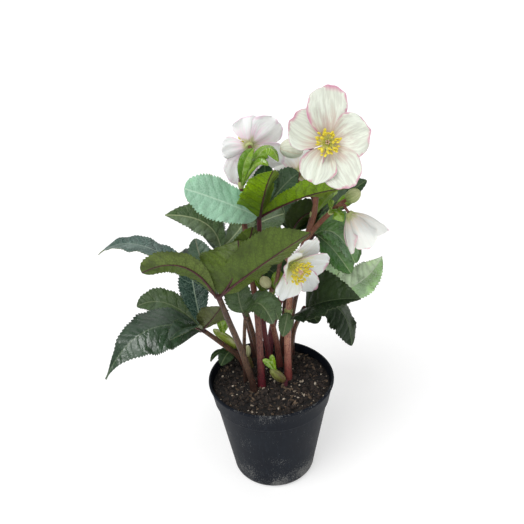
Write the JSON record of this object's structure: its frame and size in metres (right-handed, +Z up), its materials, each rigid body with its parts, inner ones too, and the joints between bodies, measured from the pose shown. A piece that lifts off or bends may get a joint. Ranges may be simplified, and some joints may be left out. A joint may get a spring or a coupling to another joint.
{
  "type": "potted hellebore plant",
  "caption": "Hellebore in a round nursery pot: toothed palmate leaves on long stalks, and open blooms, buds and bracts on branching stems.",
  "frame": {"origin": "centre of the flat foot of the pot", "axes": "+Z up along the pot's axis, -Y towards the front, where the largest bloom faces, +X to the right"},
  "size_m": [0.2743, 0.2072, 0.4151],
  "materials": {
    "pot": "matte, dusty",
    "soil": "rough, moist peat",
    "leaf": "leathery, half gloss",
    "stalk": "smooth, speckled",
    "stem": "smooth, speckled",
    "bract": "glossy",
    "sepal": "silky",
    "bud": "silky",
    "stamen": "dusty",
    "pistil": "smooth",
    "shoot": "smooth"
  },
  "bodies": {
    "root": {"bloom_front_pistil": "pistil", "bloom_front_sepals": "sepal", "bloom_front_stamens": "stamen", "bloom_hidden_pistil": "pistil", "bloom_hidden_sepals": "sepal", "bloom_hidden_stamens": "stamen", "bloom_low_pistil": "pistil", "bloom_low_sepals": "sepal", "bloom_low_stamens": "stamen", "bloom_nodding_pistil": "pistil", "bloom_nodding_sepals": "sepal", "bloom_nodding_stamens": "stamen", "bloom_turned_pistil": "pistil", "bloom_turned_sepals": "sepal", "bloom_turned_stamens": "stamen", "bud_green": "bud", "bud_large": "bud", "bud_low": "bud", "leaf_back_blades": "leaf", "leaf_back_left_blades": "leaf", "leaf_back_left_stalk": "stalk", "leaf_back_stalk": "stalk", "leaf_far_left_blades": "leaf", "leaf_far_left_stalk": "stalk", "leaf_far_right_blades": "leaf", "leaf_far_right_stalk": "stalk", "leaf_front_blades": "leaf", "leaf_front_stalk": "stalk", "leaf_low_left_blades": "leaf", "leaf_low_left_stalk": "stalk", "leaf_low_right_blades": "leaf", "leaf_low_right_stalk": "stalk", "leaf_right_blades": "leaf", "leaf_right_stalk": "stalk", "leaf_seedling_blades": "leaf", "leaf_seedling_stalk": "stalk", "leaf_small_front_blades": "leaf", "leaf_small_front_stalk": "stalk", "leaf_top_blades": "leaf", "leaf_top_stalk": "stalk", "pot": "pot", "shoot_left": "shoot", "shoot_middle": "shoot", "shoot_right": "shoot", "soil": "soil", "stem_hidden": "stem", "stem_hidden_bracts": "bract", "stem_low": "stem", "stem_low_bracts": "bract", "stem_main": "stem", "stem_main_bracts": "bract", "stem_main_leaf": "leaf", "stem_turned": "stem", "stem_turned_bracts": "bract"}
  },
  "joints": []
}
